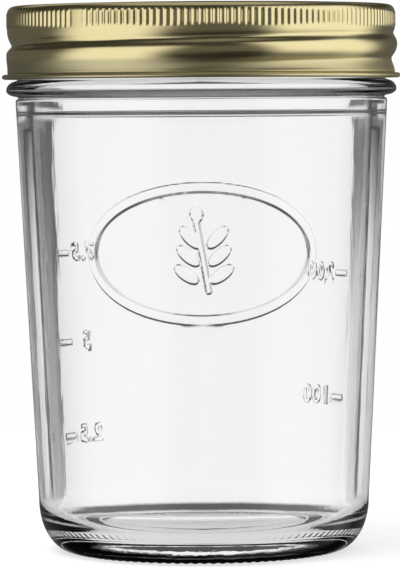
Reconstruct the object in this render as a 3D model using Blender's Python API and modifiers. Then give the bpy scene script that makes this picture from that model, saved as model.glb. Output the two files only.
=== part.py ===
# Wide-mouth preserving jar with a two-part screw closure.
#
# The jar is pressed glass: a straight tapering wall on a rounded heel, a bead under the mouth and a
# plain lip. A pressed metal disc sits on the lip with a sealing ring under its rim. A screw band of
# thin sheet holds it down: it has a flat flange, a ribbed grip, a thread rolled into its wall and a
# curled lower edge.
#
# Metres, +Z up. The origin is at the centre of the base, on the surface that the jar stands on.

import math

import bmesh
import bpy

MM = 0.001

# Every turned piece has the same number of flats, so the gaps between pieces stay even
FLATS = 60
MERGE = 0.00001

# Running gap between pieces that touch on the real jar
GAP = 0.3 * MM

# Glass jar, heights above the rest surface
JAR_HEIGHT = 114.3 * MM
FINISH_RADIUS = 39.3 * MM
FINISH_WALL = 3.3 * MM
FINISH_HEIGHT = 13.5 * MM
LIP_ROUND = 0.9 * MM
BEAD_HEIGHT = 3.7 * MM
BEAD_REACH = 2.5 * MM
NECK_RADIUS = 39.2 * MM
NECK_HEIGHT = 1.7 * MM
SHOULDER_RADIUS = 39.8 * MM
HEEL_RADIUS = 35.5 * MM
HEEL_HEIGHT = 10.9 * MM
HEEL_ROUND = 7.5 * MM
WALL = 3.0 * MM
THROAT_HEIGHT = 3.7 * MM
FLOOR_HEIGHT = 5.0 * MM
FLOOR_ROUND = 7.8 * MM
FOOT_WIDTH = 1.8 * MM
PUSH_UP = 1.7 * MM
PUSH_UP_FLANK = 1.7 * MM

# Lid disc
DISC_SHEET = 0.25 * MM
DISC_ROUND = 0.6 * MM
DISC_DROP = 1.1 * MM
DISC_BAND_CLEARANCE = 0.4 * MM
DISC_MOUTH_CLEARANCE = 0.8 * MM
PANEL_DEPTH = 1.0 * MM
PANEL_FLANK = 0.6 * MM
BUTTON_RADIUS = 8.5 * MM
BUTTON_RISE = 0.6 * MM
PANEL_RIB_INSET = 4.8 * MM
PANEL_RIB_WIDTH = 2.4 * MM
PANEL_RIB_RISE = 0.4 * MM

# Sealing ring
RING_WIDTH = 2.8 * MM
RING_THICKNESS = 1.0 * MM
RING_CHAMFER = 0.25 * MM

# Screw band
BAND_SHEET = 0.25 * MM
BAND_ROUND = 1.65 * MM
BAND_BEAD_GAP = 0.3 * MM
FLANGE_WIDTH = 5.3 * MM
RIBS_PER_FLAT = 3
RIB_CREST = 0.12 * MM
RIB_VALLEY = 0.1 * MM
RIBS_DROP = 1.95 * MM
RIBS_HEIGHT = 2.95 * MM
RIBS_RUNOUT = 0.3 * MM
PLAIN_RIB_ANGLE = 232.0
PLAIN_RIB_SPAN = 5.0

# Thread rolled into the band: a right-hand groove, its height given at +X
THREAD_LEAD = 5.08 * MM
THREAD_DEPTH = 0.96 * MM
THREAD_CLEARANCE = 1.0 * MM
THREAD_DROP = 11.25 * MM
THREAD_LIFT = 0.35 * MM
THREAD_NEAR_FLANK = 1.7 * MM
THREAD_FAR_FLANK = 3.1 * MM
THREAD_SWELL = 0.5 * MM
THREAD_ROWS = 9

# Turns from +X, each with the share of the groove's full depth that is reached there
GROOVE_SHARES = (
    (-0.36, 0), (-0.3, 0.12), (-0.2, 0.75), (0.0, 0.78), (0.3, 1), (0.52, 1),
    (0.6, 0.72), (0.68, 0.42), (0.86, 0.4), (1.0, 0.36), (1.12, 0),
)

# Turns from +X, each with the share of the full swell below the groove that is reached there
SWELL_SHARES = ((0.14, 0), (0.26, 0.4), (0.5, 0.4), (0.9, 1), (1.02, 1), (1.14, 0))

# Curled edge at the bottom of the band
CURL_REACH = 1.15 * MM
CURL_HEIGHT = 1.05 * MM
CURL_BEND = 0.3 * MM

# Heights that follow from the stack of closure pieces
RING_BOTTOM = JAR_HEIGHT + GAP
RING_TOP = RING_BOTTOM + RING_THICKNESS
DISC_TOP = RING_TOP + GAP + DISC_SHEET
BAND_TOP = DISC_TOP + GAP + BAND_SHEET
BEAD_TOP = JAR_HEIGHT - FINISH_HEIGHT
BAND_BOTTOM = BEAD_TOP + BAND_BEAD_GAP
NECK_TOP = BEAD_TOP - BEAD_HEIGHT
SHOULDER_TOP = NECK_TOP - NECK_HEIGHT

# Radii that follow from the finish of the glass
MOUTH_RADIUS = FINISH_RADIUS - FINISH_WALL
THREAD_CREST_RADIUS = FINISH_RADIUS + THREAD_CLEARANCE
BAND_RADIUS = THREAD_CREST_RADIUS + BAND_SHEET + THREAD_DEPTH
DISC_RADIUS = THREAD_CREST_RADIUS - DISC_BAND_CLEARANCE
RING_RADIUS = DISC_RADIUS - DISC_SHEET - GAP


def arc(centre, radii, start, end, steps):
    """Points on an elliptical arc, from start to end in degrees, both ends included."""
    points = []
    for step in range(steps + 1):
        angle = math.radians(start + (end - start) * step / steps)
        across = centre[0] + radii[0] * math.cos(angle)
        height = centre[1] + radii[1] * math.sin(angle)
        points.append((across, height))
    return points


def wave(start, end, steps):
    """Points on a half wave that leaves start and reaches end level, start left out."""
    points = []
    for step in range(1, steps + 1):
        share = step / steps
        eased = 0.5 - 0.5 * math.cos(math.pi * share)
        across = start[0] + (end[0] - start[0]) * share
        height = start[1] + (end[1] - start[1]) * eased
        points.append((across, height))
    return points


def wall_radius(height):
    """Outer radius of the tapering glass wall at a height between heel and shoulder."""
    share = (height - HEEL_HEIGHT) / (SHOULDER_TOP - HEEL_HEIGHT)
    return HEEL_RADIUS + (SHOULDER_RADIUS - HEEL_RADIUS) * share


def jar_outline():
    """Half section of the glass: up the inside, over the lip, down the outside and under the base."""
    inner_corner_height = FLOOR_HEIGHT + FLOOR_ROUND
    inner_corner_radius = wall_radius(inner_corner_height) - WALL - FLOOR_ROUND
    points = [(0, FLOOR_HEIGHT)]
    points += arc((inner_corner_radius, inner_corner_height), (FLOOR_ROUND, FLOOR_ROUND), -90, 0, 4)

    throat_bottom = SHOULDER_TOP - THROAT_HEIGHT
    throat_radius = wall_radius(throat_bottom) - WALL
    throat_middle = (0.5 * (throat_radius + MOUTH_RADIUS), 0.5 * (throat_bottom + SHOULDER_TOP))
    points += [(throat_radius, throat_bottom), throat_middle, (MOUTH_RADIUS, SHOULDER_TOP)]

    lip_height = JAR_HEIGHT - LIP_ROUND
    lip = (LIP_ROUND, LIP_ROUND)
    points += arc((MOUTH_RADIUS + LIP_ROUND, lip_height), lip, 180, 90, 2)
    points += arc((FINISH_RADIUS - LIP_ROUND, lip_height), lip, 90, 0, 2)

    bead = (BEAD_REACH, 0.5 * BEAD_HEIGHT)
    points += arc((FINISH_RADIUS, NECK_TOP + 0.5 * BEAD_HEIGHT), bead, 90, -70, 5)
    points += [(NECK_RADIUS, NECK_TOP)]
    points += arc((NECK_RADIUS, SHOULDER_TOP), (SHOULDER_RADIUS - NECK_RADIUS, NECK_HEIGHT), 60, 0, 2)

    heel = (HEEL_ROUND, HEEL_HEIGHT)
    foot_radius = HEEL_RADIUS - HEEL_ROUND
    points += arc((foot_radius, HEEL_HEIGHT), heel, 0, -90, 7)

    hollow_radius = foot_radius - FOOT_WIDTH
    points += [(hollow_radius, 0)]
    points += arc((hollow_radius, PUSH_UP), (-PUSH_UP_FLANK, -PUSH_UP), 60, 0, 2)
    points += [(0, PUSH_UP)]
    return points


def disc_outline():
    """Upper face of the lid disc, from its centre out to the lower edge of its rim."""
    panel_height = DISC_TOP - PANEL_DEPTH
    points = [(0, panel_height + BUTTON_RISE)]
    points += wave(points[0], (BUTTON_RADIUS, panel_height), 2)

    step_radius = MOUTH_RADIUS - DISC_MOUTH_CLEARANCE
    rib_radius = step_radius - PANEL_RIB_INSET
    half_rib = 0.5 * PANEL_RIB_WIDTH
    points += [(rib_radius - half_rib, panel_height)]
    points += [(rib_radius, panel_height + PANEL_RIB_RISE)]
    points += [(rib_radius + half_rib, panel_height)]
    points += [(step_radius - PANEL_FLANK, panel_height), (step_radius, DISC_TOP)]

    corner = (DISC_RADIUS - DISC_ROUND, DISC_TOP - DISC_ROUND)
    points += arc(corner, (DISC_ROUND, DISC_ROUND), 90, 0, 2)
    points += [(DISC_RADIUS, DISC_TOP - DISC_DROP)]
    return points


def ring_outline():
    """Closed section of the sealing ring, a flat band with chamfered upper and outer corners."""
    inner = RING_RADIUS - RING_WIDTH
    return [
        (inner, RING_TOP),
        (RING_RADIUS - RING_CHAMFER, RING_TOP),
        (RING_RADIUS, RING_TOP - RING_CHAMFER),
        (RING_RADIUS, RING_BOTTOM + RING_CHAMFER),
        (RING_RADIUS - RING_CHAMFER, RING_BOTTOM),
        (inner + RING_CHAMFER, RING_BOTTOM),
        (inner, RING_BOTTOM + RING_CHAMFER),
    ]


def band_outline():
    """Outer face of the screw band before its ribs and thread, from flange edge to curled edge."""
    points = [(BAND_RADIUS - FLANGE_WIDTH, BAND_TOP)]
    corner = (BAND_RADIUS - BAND_ROUND, BAND_TOP - BAND_ROUND)
    points += arc(corner, (BAND_ROUND, BAND_ROUND), 90, 0, 3)
    points += [(BAND_RADIUS, ribs_top()), (BAND_RADIUS, ribs_bottom())]

    bend_height = BAND_BOTTOM + BAND_SHEET + CURL_BEND
    for row in range(THREAD_ROWS):
        points += [(BAND_RADIUS, grip_bottom() + (bend_height - grip_bottom()) * row / THREAD_ROWS)]

    points += arc((BAND_RADIUS + CURL_BEND, bend_height), (CURL_BEND, CURL_BEND), 180, 270, 2)
    roll = 0.5 * CURL_HEIGHT - BAND_SHEET
    roll_centre = (BAND_RADIUS + CURL_REACH - 0.5 * CURL_HEIGHT, BAND_BOTTOM + 0.5 * CURL_HEIGHT)
    points += arc(roll_centre, (roll, roll), -90, 90, 3)
    return points


def ribs_top():
    """Height where the ribs of the grip begin, below the rounded shoulder."""
    return BAND_TOP - RIBS_DROP


def ribs_bottom():
    """Height where the ribs of the grip end."""
    return ribs_top() - RIBS_HEIGHT


def grip_bottom():
    """Height where the wall is plain again below the ribs."""
    return ribs_bottom() - RIBS_RUNOUT


def bell(distance, reach):
    """A smooth hump: 1 at no distance, 0 from reach onwards."""
    if abs(distance) >= reach:
        return 0.0
    return 0.5 + 0.5 * math.cos(math.pi * distance / reach)


def eased(share):
    """A share held between 0 and 1, which leaves and arrives gently."""
    held = max(0.0, min(1.0, share))
    return held * held * (3 - 2 * held)


def share_at(stops, turn):
    """The share at a turn, from a list of turns and shares that it eases between."""
    share = stops[0][1]
    for here, there in zip(stops, stops[1:]):
        share += (there[1] - here[1]) * eased((turn - here[0]) / (there[0] - here[0]))
    return share


def thread_shift(turn_share, height):
    """Radial shift of the band's wall at a share of a turn from +X and a height."""
    shift = 0.0
    for lap in (-1, 0, 1):
        turn = turn_share + lap
        upper_share = eased(2 * turn)
        centre = BAND_TOP - THREAD_DROP + THREAD_LEAD * turn + THREAD_LIFT * upper_share
        if height > centre:
            flank = THREAD_NEAR_FLANK + (THREAD_FAR_FLANK - THREAD_NEAR_FLANK) * upper_share
            flank = min(flank, grip_bottom() - centre)
        else:
            flank = THREAD_FAR_FLANK + (THREAD_NEAR_FLANK - THREAD_FAR_FLANK) * upper_share
        shift -= THREAD_DEPTH * share_at(GROOVE_SHARES, turn) * bell(height - centre, flank)
        below = height - centre + 0.5 * THREAD_LEAD
        shift += THREAD_SWELL * share_at(SWELL_SHARES, turn) * bell(below, 0.5 * THREAD_LEAD)
    return shift


def rib_shift(step, steps):
    """Radial shift of one knurl line: crests and valleys take turns, but for the plain place."""
    angle = 360.0 * step / steps
    if abs(angle - PLAIN_RIB_ANGLE) < 0.5 * PLAIN_RIB_SPAN:
        return 0.0
    if step % 2 == 0:
        return RIB_CREST
    return -RIB_VALLEY


def new_object(name, mesh, collection):
    """Put a mesh in a collection as a named object."""
    item = bpy.data.objects.new(name, mesh)
    collection.objects.link(item)
    return item


def outline_mesh(name, points, closed):
    """Mesh of edges only, along the points of an outline in the XZ plane."""
    vertices = [(across, 0, height) for across, height in points]
    edges = [(index, index + 1) for index in range(len(points) - 1)]
    if closed:
        edges.append((len(points) - 1, 0))
    mesh = bpy.data.meshes.new(name)
    mesh.from_pydata(vertices, edges, [])
    return mesh


def add_screw(item):
    """Turn an outline once round the vertical axis."""
    screw = item.modifiers.new("Turn", "SCREW")
    screw.axis = "Z"
    screw.angle = 2 * math.pi
    screw.steps = FLATS
    screw.render_steps = FLATS
    screw.use_merge_vertices = True
    screw.merge_threshold = MERGE
    screw.use_smooth_shade = True


def add_sheet(item, thickness):
    """Give an open surface its thickness, inwards from the face that was drawn."""
    solidify = item.modifiers.new("Sheet", "SOLIDIFY")
    solidify.thickness = thickness
    solidify.offset = -1
    solidify.use_even_offset = True


def turned(name, points, collection, closed=False):
    """A named object turned from an outline."""
    item = new_object(name, outline_mesh(name, points, closed), collection)
    add_screw(item)
    return item


def flat_of(vertex):
    """Turn share of a vertex round the vertical axis, from 0 at +X up to 1."""
    return (math.atan2(vertex.co.y, vertex.co.x) / (2 * math.pi)) % 1.0


def set_radius(vertex, turn_share, radius):
    """Move a vertex to a radius at a turn share, keeping its height."""
    angle = 2 * math.pi * turn_share
    vertex.co.x = radius * math.cos(angle)
    vertex.co.y = radius * math.sin(angle)


def is_on_wall(vertex):
    """Whether a vertex lies on the turned wall, which the curl stands out from."""
    return math.hypot(vertex.co.x, vertex.co.y) < BAND_RADIUS + MERGE


def is_on_row(vertex, height):
    """Whether a vertex lies on the row of the wall at a height."""
    return abs(vertex.co.z - height) < MERGE


def roll_ribs(band):
    """Divide the two rib rows finely and press the ribs of the grip into them."""
    rows = (ribs_top(), ribs_bottom())
    edges = []
    for edge in band.edges:
        first, second = edge.verts
        if any(is_on_row(first, row) and is_on_row(second, row) for row in rows):
            edges.append(edge)
    cuts = 2 * RIBS_PER_FLAT - 1
    bmesh.ops.subdivide_edges(band, edges=edges, cuts=cuts, use_grid_fill=True)

    steps = 2 * RIBS_PER_FLAT * FLATS
    for vertex in band.verts:
        if any(is_on_row(vertex, row) for row in rows):
            step = round(flat_of(vertex) * steps) % steps
            set_radius(vertex, step / steps, BAND_RADIUS + rib_shift(step, steps))


def roll_thread(band):
    """Press the helical thread into the wall between the grip and the curled edge."""
    top = ribs_bottom() - MERGE
    bottom = BAND_BOTTOM + BAND_SHEET + CURL_BEND + MERGE
    for vertex in band.verts:
        if bottom < vertex.co.z < top and is_on_wall(vertex):
            turn_share = flat_of(vertex)
            set_radius(vertex, turn_share, BAND_RADIUS + thread_shift(turn_share, vertex.co.z))


def make_jar(collection):
    """The glass jar."""
    return turned("glass_jar", jar_outline(), collection)


def make_disc(collection):
    """The pressed metal disc that closes the mouth."""
    disc = turned("lid_disc", disc_outline(), collection)
    add_sheet(disc, DISC_SHEET)
    return disc


def make_ring(collection):
    """The sealing ring under the rim of the disc."""
    return turned("sealing_ring", ring_outline(), collection, closed=True)


def make_band(collection):
    """The screw band: a turned wall with its ribs and its thread rolled in."""
    blank = turned("screw_band_blank", band_outline(), collection)
    graph = bpy.context.evaluated_depsgraph_get()
    mesh = bpy.data.meshes.new_from_object(blank.evaluated_get(graph))
    mesh.name = "screw_band"
    bpy.data.objects.remove(blank)

    work = bmesh.new()
    work.from_mesh(mesh)
    roll_ribs(work)
    roll_thread(work)
    bmesh.ops.triangulate(work, faces=[face for face in work.faces if len(face.verts) > 4])
    work.to_mesh(mesh)
    work.free()

    band = new_object("screw_band", mesh, collection)
    add_sheet(band, BAND_SHEET)
    mesh.shade_smooth()
    return band


def new_material(name, colour, roughness, metallic=0.0, transmission=0.0):
    """A plain surface finish."""
    material = bpy.data.materials.new(name)
    material.use_nodes = True
    shader = material.node_tree.nodes["Principled BSDF"]
    shader.inputs["Base Color"].default_value = (*colour, 1.0)
    shader.inputs["Roughness"].default_value = roughness
    shader.inputs["Metallic"].default_value = metallic
    shader.inputs["Transmission Weight"].default_value = transmission
    material.diffuse_color = (*colour, 1.0)
    return material


def seat(item, parent, height):
    """Carry a closure piece on its parent, with its origin on the jar's axis at a height."""
    item.parent = parent
    item.location.z = height - parent.location.z
    for vertex in item.data.vertices:
        vertex.co.z -= height


def main():
    """Clear the scene and build the jar and its closure."""
    for item in list(bpy.data.objects):
        bpy.data.objects.remove(item)
    collection = bpy.data.collections.new("preserving_jar")
    bpy.context.scene.collection.children.link(collection)

    jar = make_jar(collection)
    closure = new_object("closure", None, collection)
    closure.location.z = JAR_HEIGHT

    ring = make_ring(collection)
    disc = make_disc(collection)
    band = make_band(collection)
    seat(ring, closure, RING_BOTTOM)
    seat(disc, closure, DISC_TOP)
    seat(band, closure, BAND_BOTTOM)

    jar.data.materials.append(new_material("clear_glass", (0.93, 0.96, 0.95), 0.03, transmission=1.0))
    ring.data.materials.append(new_material("seal_compound", (0.62, 0.36, 0.26), 0.6))
    disc.data.materials.append(new_material("disc_lacquer", (0.80, 0.68, 0.40), 0.35, metallic=1.0))
    band.data.materials.append(new_material("gold_lacquer", (0.80, 0.68, 0.40), 0.3, metallic=1.0))


main()
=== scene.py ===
"""Looks of a wide-mouth preserving jar closed by a lid disc, a sealing ring and a screw band.

Metres, +Z up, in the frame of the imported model. The photographed side faces -Y. Each class builds
the visible form of one piece with Blender's own operators and dresses it.
"""

import enum
import logging
import math
from collections.abc import Callable, Iterator, Sequence
from contextlib import contextmanager
from dataclasses import dataclass
from itertools import pairwise

import bmesh
import bpy
from mathutils import Euler, Matrix, Vector
from mathutils.bvhtree import BVHTree


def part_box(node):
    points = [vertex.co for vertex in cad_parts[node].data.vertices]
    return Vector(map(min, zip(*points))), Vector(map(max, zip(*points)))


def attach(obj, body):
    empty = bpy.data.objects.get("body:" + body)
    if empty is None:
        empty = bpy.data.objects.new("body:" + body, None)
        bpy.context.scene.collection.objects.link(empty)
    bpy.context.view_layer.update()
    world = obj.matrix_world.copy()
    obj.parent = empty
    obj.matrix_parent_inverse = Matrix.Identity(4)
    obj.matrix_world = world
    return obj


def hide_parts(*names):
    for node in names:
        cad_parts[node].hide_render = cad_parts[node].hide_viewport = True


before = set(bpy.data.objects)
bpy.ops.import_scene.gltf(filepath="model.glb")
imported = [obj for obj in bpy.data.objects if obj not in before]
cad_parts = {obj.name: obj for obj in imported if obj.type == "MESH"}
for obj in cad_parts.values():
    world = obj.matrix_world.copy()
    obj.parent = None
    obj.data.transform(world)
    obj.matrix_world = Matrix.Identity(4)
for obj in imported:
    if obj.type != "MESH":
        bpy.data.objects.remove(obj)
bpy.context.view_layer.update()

LOG = logging.getLogger("preserving_jar")

Point = tuple[float, float]
Place = tuple[float, float, float]
Colour = tuple[float, float, float]

MM = 0.001
TURN = 2 * math.pi
MERGE = 0.002 * MM
HAIR = 0.01 * MM


def arc(centre: Point, radii: Point, start: float, end: float, steps: int) -> list[Point]:
    """Points on an elliptical arc, both ends included.

    Args:
        centre: Radius and height of the centre.
        radii: Reach along the radius and along the height.
        start: First angle in degrees, from outwards and level.
        end: Last angle in degrees.
        steps: Number of stretches.

    Returns:
        The points from start to end.
    """
    points = []
    for step in range(steps + 1):
        angle = math.radians(start + (end - start) * step / steps)
        points.append((centre[0] + radii[0] * math.cos(angle), centre[1] + radii[1] * math.sin(angle)))
    return points


def run(start: Point, end: Point, steps: int) -> list[Point]:
    """Evenly spaced points on a straight stretch, with start left out.

    Args:
        start: Where the stretch begins.
        end: Where it ends.
        steps: Number of stretches.

    Returns:
        The points after start.
    """
    shares = [step / steps for step in range(1, steps + 1)]
    return [(start[0] + (end[0] - start[0]) * s, start[1] + (end[1] - start[1]) * s) for s in shares]


def wave(start: Point, end: Point, steps: int) -> list[Point]:
    """Points on a half wave that leaves start and reaches end level, with start left out.

    Args:
        start: Where the wave begins.
        end: Where it ends.
        steps: Number of stretches.

    Returns:
        The points after start.
    """
    points = []
    for across, _ in run(start, end, steps):
        share = (across - start[0]) / (end[0] - start[0])
        points.append((across, start[1] + (end[1] - start[1]) * eased(share)))
    return points


def eased(share: float) -> float:
    """A share from 0 to 1, held inside those limits, that leaves and arrives gently."""
    held = max(0.0, min(1.0, share))
    return held * held * (3 - 2 * held)


def along(stops: Sequence[Point], place: float) -> float:
    """Read a curve that eases from stop to stop.

    Args:
        stops: Place and value of each stop, in order.
        place: Where the curve is read; beyond the ends it is level.

    Returns:
        The value there.
    """
    value = stops[0][1]
    for here, there in pairwise(stops):
        value += (there[1] - here[1]) * eased((place - here[0]) / (there[0] - here[0]))
    return value


def bell(distance: float, reach: float) -> float:
    """A smooth hump: 1 at no distance, 0 from reach onwards."""
    return 0.5 + 0.5 * math.cos(math.pi * min(abs(distance), reach) / reach)


def vee(distance: float, reach: float) -> float:
    """A sharp hump with hollow flanks: 1 at no distance, 0 from reach onwards."""
    return max(1 - abs(distance) / reach, 0.0) ** 2 if reach > 0 else 0.0


def deselect_all() -> None:
    """Leave nothing selected, so that an operator acts only on what is chosen next."""
    bpy.ops.object.select_all(action="DESELECT")


def pick(piece: bpy.types.Object) -> None:
    """Select one piece alone and make it the active one.

    Args:
        piece: The piece, in object mode.
    """
    deselect_all()
    piece.select_set(True)
    bpy.context.view_layer.objects.active = piece


def polar(point: Vector) -> Place:
    """A point's angle from +X, its radius and its height."""
    return math.atan2(point.y, point.x), math.hypot(point.x, point.y), point.z


@contextmanager
def edit_mode(piece: bpy.types.Object) -> Iterator[None]:
    """Open one piece in edit mode, and close it again afterwards.

    Args:
        piece: The piece, in object mode.

    Yields:
        Nothing, while the piece is open.
    """
    pick(piece)
    bpy.ops.object.mode_set(mode="EDIT")
    bpy.ops.mesh.select_mode(type="VERT")
    yield
    bpy.ops.object.mode_set(mode="OBJECT")


def select_faces(piece: bpy.types.Object, wanted: Callable[[Place], bool]) -> None:
    """Select the faces of a piece in edit mode by the place of their middle.

    Args:
        piece: The piece, open in edit mode.
        wanted: Says of the angle, radius and height of a face's middle whether the face is selected.
    """
    bpy.ops.mesh.select_mode(type="FACE")
    bpy.ops.mesh.select_all(action="DESELECT")
    for face in bmesh.from_edit_mesh(piece.data).faces:
        face.select_set(wanted(polar(face.calc_center_median())))
    bmesh.update_edit_mesh(piece.data)


def lathe(name: str, outline: Sequence[Point], columns: int) -> bpy.types.Object:
    """Draw an outline by extruding one point, and spin it once round the vertical axis.

    Args:
        name: Name of the piece.
        outline: Radius and height of each point of the half section.
        columns: Number of flats round the piece.

    Returns:
        The turned piece, shaded smooth, with its doubles merged.
    """
    deselect_all()
    bpy.ops.mesh.primitive_plane_add(size=MM)
    piece = bpy.context.object
    piece.name = name
    piece.data.name = name
    with edit_mode(piece):
        bpy.ops.mesh.select_all(action="SELECT")
        bpy.ops.mesh.merge(type="CENTER")
        bpy.ops.transform.translate(value=(outline[0][0], 0, outline[0][1]))
        for here, there in pairwise(outline):
            step = (there[0] - here[0], 0, there[1] - here[1])
            bpy.ops.mesh.extrude_vertices_move(TRANSFORM_OT_translate={"value": step})
        bpy.ops.mesh.select_all(action="SELECT")
        bpy.ops.mesh.spin(steps=columns, angle=TURN, center=(0, 0, 0), axis=(0, 0, 1))
        bpy.ops.mesh.select_all(action="SELECT")
        bpy.ops.mesh.remove_doubles(threshold=MERGE)
        bpy.ops.mesh.normals_make_consistent(inside=False)
    bpy.ops.object.shade_smooth()
    return piece


def reshape(piece: bpy.types.Object, move: Callable[[Place], Place]) -> None:
    """Move each vertex of a turned piece round, across and along its axis.

    Args:
        piece: The piece, in object mode.
        move: Takes a vertex's angle from +X, its radius and its height together, and returns the new ones.
    """
    for vertex in piece.data.vertices:
        angle, radius, height = move(polar(vertex.co))
        vertex.co = (radius * math.cos(angle), radius * math.sin(angle), height)
    piece.data.update()


def face_outwards(piece: bpy.types.Object, outside: Place) -> None:
    """Flip the faces of an open sheet if the nearest one looks away from a point outside it.

    Args:
        piece: The sheet, in object mode.
        outside: The point.
    """
    point = Vector(outside)
    nearest = min(piece.data.polygons, key=lambda face: (face.center - point).length)
    if nearest.normal.dot(point - nearest.center) < 0:
        with edit_mode(piece):
            bpy.ops.mesh.select_all(action="SELECT")
            bpy.ops.mesh.flip_normals()


def apply_modifier(piece: bpy.types.Object, kind: str, **settings: object) -> None:
    """Add one modifier to a piece and apply it.

    Args:
        piece: The piece, in object mode.
        kind: Blender's name for the modifier type.
        **settings: The modifier's own settings.
    """
    modifier = piece.modifiers.new(kind.title(), kind)
    for name, value in settings.items():
        setattr(modifier, name, value)
    pick(piece)
    bpy.ops.object.modifier_apply(modifier=modifier.name)


def mark_lining(piece: bpy.types.Object, is_lined: Callable[[Vector, Vector], bool]) -> None:
    """Mark the faces of a piece that its finish gives the lining.

    Args:
        piece: The piece, in object mode.
        is_lined: Says of a face's middle and its normal whether the face is lined.
    """
    lined = [float(is_lined(face.center, face.normal)) for face in piece.data.polygons]
    piece.data.attributes.new("lining", "FLOAT", "FACE").data.foreach_set("value", lined)


class Signal:
    """A number on its way through a shader. Sums of signals add their Math nodes."""

    def __init__(self, graph: "Graph", socket: bpy.types.NodeSocket) -> None:
        """Wrap a socket of a graph."""
        self.graph = graph
        self.socket = socket

    def _maths(self, operation: str, *terms: "Signal | float") -> "Signal":
        """Add one Math node for the terms."""
        values = dict(enumerate(terms))
        return self.graph.signal(self.graph.node("ShaderNodeMath", {"operation": operation}, values))

    def __add__(self, other: "Signal | float") -> "Signal":
        """This plus other."""
        return self._maths("ADD", self, other)

    __radd__ = __add__

    def __sub__(self, other: "Signal | float") -> "Signal":
        """This less other."""
        return self._maths("SUBTRACT", self, other)

    def __rsub__(self, other: float) -> "Signal":
        """Other less this."""
        return self._maths("SUBTRACT", other, self)

    def __mul__(self, other: "Signal | float") -> "Signal":
        """This times other."""
        return self._maths("MULTIPLY", self, other)

    __rmul__ = __mul__

    def __truediv__(self, other: "Signal | float") -> "Signal":
        """This over other."""
        return self._maths("DIVIDE", self, other)

    def __pow__(self, other: float) -> "Signal":
        """This to a power."""
        return self._maths("POWER", self, other)

    def __abs__(self) -> "Signal":
        """This without its sign."""
        return self._maths("ABSOLUTE", self)

    def angle_over(self, other: "Signal") -> "Signal":
        """Angle in degrees of the direction with this as its sine side and other as its cosine side."""
        return self._maths("ARCTAN2", self, other) * math.degrees(1)

    def rise(self, low: float, high: float) -> "Signal":
        """0 up to low, 1 from high onwards, and smooth between.

        Args:
            low: Where the rise starts.
            high: Where it ends.

        Returns:
            The risen signal.
        """
        values = {"Value": self, "From Min": low, "From Max": high}
        smooth = {"interpolation_type": "SMOOTHSTEP"}
        return self.graph.signal(self.graph.node("ShaderNodeMapRange", smooth, values))

    def toward(self, level: float, share: "Signal") -> "Signal":
        """This, drawn that share of the way to a level."""
        return self + (level - self) * share

    def window(self, low: float, high: float, edge: float) -> "Signal":
        """1 between low and high and 0 outside, each edge that wide."""
        half = 0.5 * edge
        return self.rise(low - half, low + half) - self.rise(high - half, high + half)


class Graph:
    """The nodes of one material or of the world."""

    def __init__(self, tree: bpy.types.NodeTree) -> None:
        """Start from an empty tree."""
        self.tree = tree
        self.tree.nodes.clear()

    def node(
        self,
        kind: str,
        settings: dict[str, object] | None = None,
        values: dict[str | int, object] | None = None,
    ) -> bpy.types.Node:
        """Add a node.

        Args:
            kind: Blender's name for the node type.
            settings: What is set on the node itself, before its sockets.
            values: A value, a socket or a signal for each input that isn't left as it is.

        Returns:
            The new node.
        """
        made = self.tree.nodes.new(kind)
        for name, value in (settings or {}).items():
            setattr(made, name, value)
        for key, value in (values or {}).items():
            source = value.socket if isinstance(value, Signal) else value
            if isinstance(source, bpy.types.NodeSocket):
                self.tree.links.new(source, made.inputs[key])
            else:
                made.inputs[key].default_value = source
        return made

    def signal(self, source: bpy.types.Node | bpy.types.NodeSocket) -> Signal:
        """A socket, or the first output of a node, as a signal."""
        return Signal(self, source.outputs[0] if isinstance(source, bpy.types.Node) else source)

    def mixed(self, share: Signal | float, first: object, second: object) -> bpy.types.NodeSocket:
        """A colour between two.

        Args:
            share: How much of the second colour.
            first: A colour or a socket.
            second: A colour or a socket.

        Returns:
            The socket of the mixed colour.
        """
        ends = [(*end, 1.0) if isinstance(end, tuple) else end for end in (first, second)]
        values = {0: share, 6: ends[0], 7: ends[1]}
        return self.node("ShaderNodeMix", {"data_type": "RGBA"}, values).outputs[2]

    def coordinates(self, output: str) -> tuple[Signal, ...]:
        """The three parts of one output of the texture coordinates."""
        vector = self.node("ShaderNodeTexCoord").outputs[output]
        return tuple(map(self.signal, self.node("ShaderNodeSeparateXYZ", values={0: vector}).outputs))

    def grain(self, across: Sequence[Signal], detail: float = 2.0, roughness: float = 0.5) -> Signal:
        """Noise from 0 to 1.

        Args:
            across: The three coordinates, in grains.
            detail: Number of finer layers.
            roughness: Strength of the finer layers.

        Returns:
            The noise.
        """
        vector = self.node("ShaderNodeCombineXYZ", values=dict(enumerate(across))).outputs[0]
        values = {"Vector": vector, "Scale": 1.0, "Detail": detail, "Roughness": roughness}
        return self.signal(self.node("ShaderNodeTexNoise", values=values).outputs["Fac"])

    def relief(self, height: Signal, depth: float) -> bpy.types.NodeSocket:
        """Normals of a surface whose height signal is that deep from 0 to 1."""
        return self.node("ShaderNodeBump", values={"Height": height, "Distance": depth}).outputs[0]

    def dress(self, values: dict[str, object]) -> None:
        """Feed a principled shader with the values, and the material with the shader."""
        shader = self.node("ShaderNodeBsdfPrincipled", values=values)
        self.node("ShaderNodeOutputMaterial", values={"Surface": shader.outputs[0]})


def new_surface(name: str) -> tuple[bpy.types.Material, Graph]:
    """A material with an empty graph.

    Args:
        name: Name of the material.

    Returns:
        The material and its graph.
    """
    material = bpy.data.materials.new(name)
    material.use_nodes = True
    return material, Graph(material.node_tree)


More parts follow.
